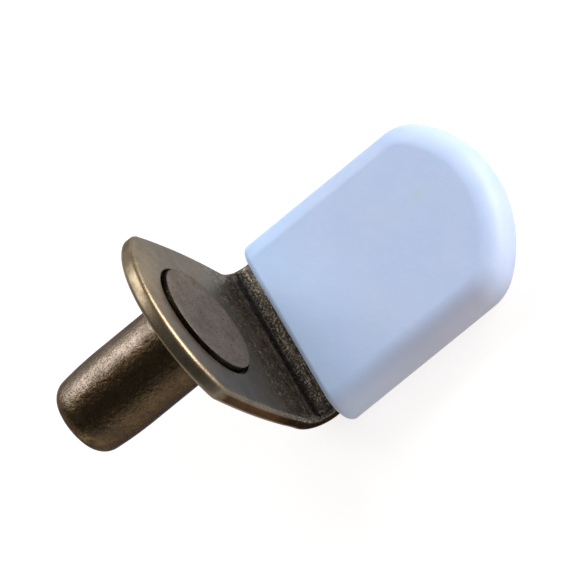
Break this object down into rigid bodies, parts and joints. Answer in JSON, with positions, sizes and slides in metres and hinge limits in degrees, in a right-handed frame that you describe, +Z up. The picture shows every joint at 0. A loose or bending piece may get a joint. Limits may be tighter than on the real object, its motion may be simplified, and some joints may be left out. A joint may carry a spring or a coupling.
{
  "type": "shelf support pin",
  "caption": "Angled shelf support with a round pin for the cabinet's side and a soft sleeve on the leg that carries the shelf.",
  "frame": {"origin": "on the pin's axis, at the flange's outer face, which lies against the cabinet's side", "axes": "+Y away from the cabinet along the leg, +Z up the flange, X across the leg"},
  "size_m": [0.0146, 0.0306, 0.0183],
  "materials": {
    "antique_brass": "steel with an antique brass plating, satin, darkened in the bend and worn bright on the edges",
    "soft_sleeve": "matt, slightly translucent, bluish white soft plastic"
  },
  "bodies": {
    "root": {"bracket": "antique_brass", "pin": "antique_brass", "sleeve": "soft_sleeve"}
  },
  "joints": []
}
